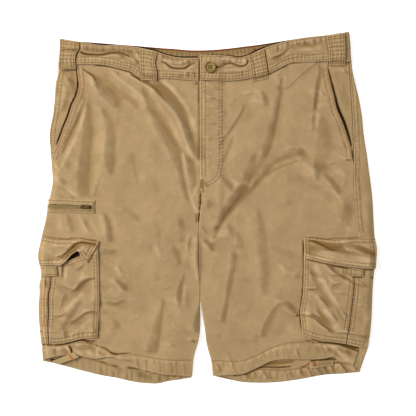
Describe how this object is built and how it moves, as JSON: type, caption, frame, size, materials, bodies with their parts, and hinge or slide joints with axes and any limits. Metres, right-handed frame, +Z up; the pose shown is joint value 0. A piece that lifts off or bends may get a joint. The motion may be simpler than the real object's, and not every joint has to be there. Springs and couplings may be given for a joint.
{
  "type": "cargo shorts",
  "caption": "Cotton twill cargo shorts lying flat, front up, with buttoned waistband, belt loops, slanted hand pockets, a zip pocket and thigh pockets with flaps.",
  "frame": {"origin": "on the surface that the shorts lie on, under the middle of their bounding box", "axes": "+X runs across the hips towards the wearer's left side, +Y up to the waist, and +Z up out of the surface, towards the side that shows the front"},
  "size_m": [0.5591, 0.5804, 0.0149],
  "materials": {
    "twill": "washed khaki cotton twill",
    "twill_inside": "wrong side of the khaki twill",
    "hem_tape": "woven cotton tape",
    "zip_tape": "olive polyester zip tape and coil",
    "zip_metal": "antique brass",
    "button_resin": "moulded resin, satin",
    "thread": "spun sewing thread",
    "binding": "red-brown cotton binding"
  },
  "bodies": {
    "shorts": {"back_left": "twill_inside", "back_right": "twill_inside", "front_left": "twill", "front_right": "twill", "waistband_back": "twill_inside", "waistband_left": "twill", "waistband_right": "twill", "belt_loop_1": "twill", "belt_loop_2": "twill", "belt_loop_3": "twill", "belt_loop_4": "twill", "pocket_facing_left": "twill", "pocket_facing_right": "twill", "cargo_pocket_left": "twill", "cargo_pocket_right": "twill", "pocket_side_left": "twill", "pocket_side_right": "twill", "cargo_flap_left": "twill", "cargo_flap_right": "twill", "flap_tab_left": "twill", "flap_tab_right": "twill", "hem_tape_left": "hem_tape", "hem_tape_right": "hem_tape", "zip_tape": "zip_tape", "zip_welt": "twill", "zip_slider": "zip_metal", "button": "button_resin"},
    "zip_pull_tab": {"zip_pull": "zip_metal"}
  },
  "joints": [
    {"name": "pull_tab_lift", "type": "hinge", "parent": "shorts", "child": "zip_pull_tab", "pos_m": [-0.2065, 0.0022, 0.00972], "axis": [0, -1, 0], "range_deg": [0, 150]}
  ]
}
